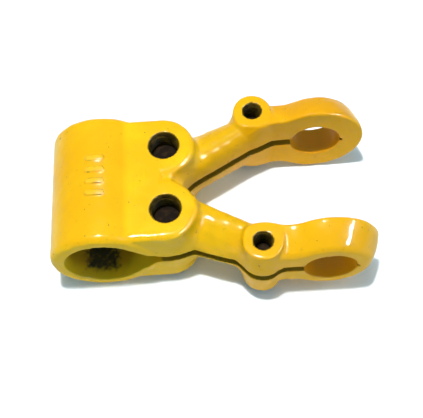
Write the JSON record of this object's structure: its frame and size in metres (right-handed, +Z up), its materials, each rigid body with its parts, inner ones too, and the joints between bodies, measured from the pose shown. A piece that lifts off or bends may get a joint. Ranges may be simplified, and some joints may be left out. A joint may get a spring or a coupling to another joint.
{
  "type": "split clamp fork",
  "caption": "Y-shaped cast clamp fork: a wide split eye, a lobed lug and two arms ending in small split eyes, one saw slot through all of them, closed by socket screws from below.",
  "frame": {"origin": "centre of the big bore, halfway along it", "axes": "+X runs along the fork from the big bore to the small eyes, +Y along the bore axes, +Z up from the saw slot; the fork is a mirror image about y = 0 and the slot lies on z = 0"},
  "size_m": [0.176, 0.1036, 0.0576],
  "materials": {
    "yellow_paint": "gloss",
    "black_steel": "satin",
    "zinc_steel": "satin"
  },
  "bodies": {
    "casting": {"fork_casting": "yellow_paint"},
    "near_clamp_washer": {"near_clamp_washer": "zinc_steel"},
    "near_clamp_screw": {"near_clamp_screw": "black_steel"},
    "near_pinch_washer": {"near_pinch_washer": "zinc_steel"},
    "near_pinch_screw": {"near_pinch_screw": "black_steel"},
    "far_clamp_washer": {"far_clamp_washer": "zinc_steel"},
    "far_clamp_screw": {"far_clamp_screw": "black_steel"},
    "far_pinch_washer": {"far_pinch_washer": "zinc_steel"},
    "far_pinch_screw": {"far_pinch_screw": "black_steel"}
  },
  "joints": [
    {"name": "near_clamp_travel", "type": "slide", "parent": "casting", "child": "near_clamp_washer", "axis": [0, 0, -1], "range_m": [0, 0.01]},
    {"name": "near_clamp_turn", "type": "hinge", "parent": "near_clamp_washer", "child": "near_clamp_screw", "pos_m": [0.0354, -0.0192, 0], "axis": [0, 0, -1], "range_deg": [0, 1800]},
    {"name": "near_pinch_travel", "type": "slide", "parent": "casting", "child": "near_pinch_washer", "axis": [0, 0, -1], "range_m": [0, 0.006]},
    {"name": "near_pinch_turn", "type": "hinge", "parent": "near_pinch_washer", "child": "near_pinch_screw", "pos_m": [0.0848, -0.0397, 0], "axis": [0, 0, -1], "range_deg": [0, 1440]},
    {"name": "far_clamp_travel", "type": "slide", "parent": "casting", "child": "far_clamp_washer", "axis": [0, 0, -1], "range_m": [0, 0.01]},
    {"name": "far_clamp_turn", "type": "hinge", "parent": "far_clamp_washer", "child": "far_clamp_screw", "pos_m": [0.0354, 0.0192, 0], "axis": [0, 0, -1], "range_deg": [0, 1800]},
    {"name": "far_pinch_travel", "type": "slide", "parent": "casting", "child": "far_pinch_washer", "axis": [0, 0, -1], "range_m": [0, 0.006]},
    {"name": "far_pinch_turn", "type": "hinge", "parent": "far_pinch_washer", "child": "far_pinch_screw", "pos_m": [0.0848, 0.0397, 0], "axis": [0, 0, -1], "range_deg": [0, 1440]}
  ],
  "couplings": [
    {"joint": "near_clamp_turn", "follows": "near_clamp_travel", "rad_per_m": 3141.6},
    {"joint": "near_pinch_turn", "follows": "near_pinch_travel", "rad_per_m": 4188.8},
    {"joint": "far_clamp_turn", "follows": "far_clamp_travel", "rad_per_m": 3141.6},
    {"joint": "far_pinch_turn", "follows": "far_pinch_travel", "rad_per_m": 4188.8}
  ]
}
